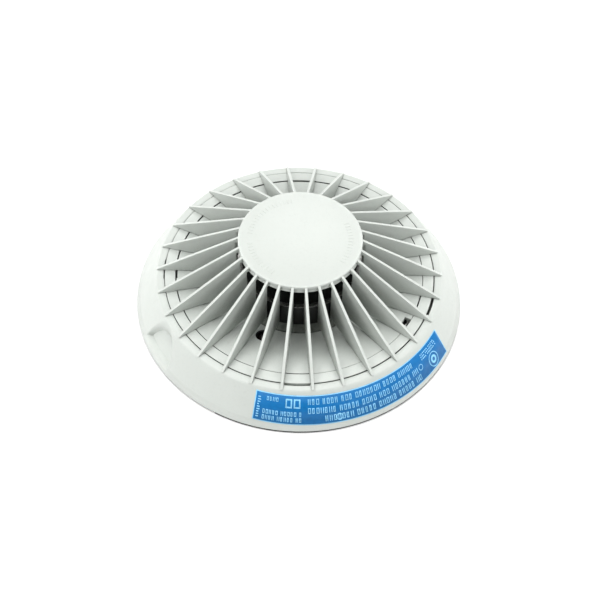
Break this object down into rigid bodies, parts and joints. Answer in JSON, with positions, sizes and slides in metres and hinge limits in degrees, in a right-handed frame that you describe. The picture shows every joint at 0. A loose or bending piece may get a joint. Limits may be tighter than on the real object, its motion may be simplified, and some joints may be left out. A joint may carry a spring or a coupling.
{
  "type": "heat detector",
  "caption": "Round ceiling-mounted point heat detector: radial guard fins around a sensing bead, on a sloping skirt that twist-locks onto a slotted mounting base.",
  "frame": {"origin": "centre of the plane the detector is mounted against, at the underside of the base gasket", "axes": "+Z out of the mounting plane along the detector's axis, towards the finned cap; -Y towards the middle of the front; +X to the right"},
  "size_m": [0.1268, 0.1268, 0.0352],
  "materials": {
    "cage_plastic": "moulded off-white plastic, fine satin texture",
    "skirt_plastic": "moulded off-white plastic, satin",
    "deck_plastic": "moulded off-white plastic, satin",
    "base_plastic": "moulded off-white plastic, textured",
    "housing_plastic": "black moulded plastic",
    "core_plastic": "black moulded plastic, satin",
    "core_metal": "dull nickel plate",
    "seal_rubber": "black moulded rubber",
    "collar_rubber": "dark grey moulded rubber",
    "spring_steel": "bright spring steel",
    "screw_steel": "zinc-plated steel",
    "contact_brass": "nickel-free brass, tarnished",
    "tinned_wire": "tinned wire",
    "bead_epoxy": "dark epoxy bead",
    "bush_ceramic": "unglazed ceramic",
    "board_laminate": "green solder mask",
    "chip_epoxy": "black moulded epoxy",
    "capacitor_sleeve": "dark blue heat-shrunk sleeve",
    "film_capacitor_case": "yellow moulded case",
    "resistor_lacquer": "beige lacquer",
    "diode_glass": "black moulded diode",
    "thermistor_epoxy": "dark green epoxy",
    "lamp_lens": "dark red lens, unlit",
    "bezel_metal": "bright plated ring",
    "label_film": "blue printed film with a pale border"
  },
  "bodies": {
    "base": {"mounting_base": "base_plastic", "base_gasket": "seal_rubber", "terminal_springs": "contact_brass", "clamp_washers": "screw_steel", "terminal_screws": "screw_steel"},
    "head": {"fin_cage": "cage_plastic", "skirt_cover": "skirt_plastic", "sensor_deck": "deck_plastic", "deck_seal": "seal_rubber", "retaining_clip": "spring_steel", "core_housing": "core_plastic", "core_ring": "core_metal", "sealing_collar": "collar_rubber", "lead_bush": "bush_ceramic", "bead_leads": "tinned_wire", "sensing_bead": "bead_epoxy", "status_led": "lamp_lens", "led_bezel": "bezel_metal", "circuit_board": "board_laminate", "chips": "chip_epoxy", "electrolytic_capacitors": "capacitor_sleeve", "film_capacitors": "film_capacitor_case", "resistors": "resistor_lacquer", "barrier_diodes": "diode_glass", "reference_thermistor": "thermistor_epoxy", "rear_housing": "housing_plastic", "case_screws": "screw_steel", "contact_blades": "contact_brass", "contact_pins": "contact_brass", "rating_label": "label_film"}
  },
  "joints": [
    {"name": "twist_lock", "type": "hinge", "parent": "base", "child": "head", "pos_m": [0, 0, 0], "axis": [0, 0, 1], "range_deg": [0, 18]}
  ]
}
